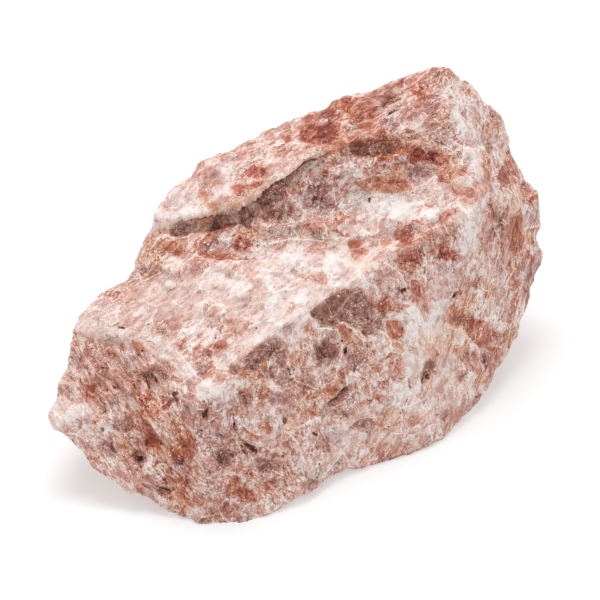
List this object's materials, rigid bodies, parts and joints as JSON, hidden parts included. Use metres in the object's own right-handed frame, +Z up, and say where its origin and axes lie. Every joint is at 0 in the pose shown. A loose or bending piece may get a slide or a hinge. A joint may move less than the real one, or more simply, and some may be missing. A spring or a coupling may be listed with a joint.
{
  "type": "rough aventurine stone",
  "caption": "Rough broken piece of pink aventurine quartzite: a layered block with a stepped ledge, an overhanging slab on top and a notched foot.",
  "frame": {"origin": "middle of the footprint's bounding rectangle, on the plane the stone rests on", "axes": "+X along the long axis towards the high end, +Y towards the back of the stone, +Z up"},
  "size_m": [0.0826, 0.0448, 0.0429],
  "materials": {
    "aventurine": "rough broken surface, dull to slightly glassy"
  },
  "bodies": {
    "root": {"stone": "aventurine"}
  },
  "joints": []
}
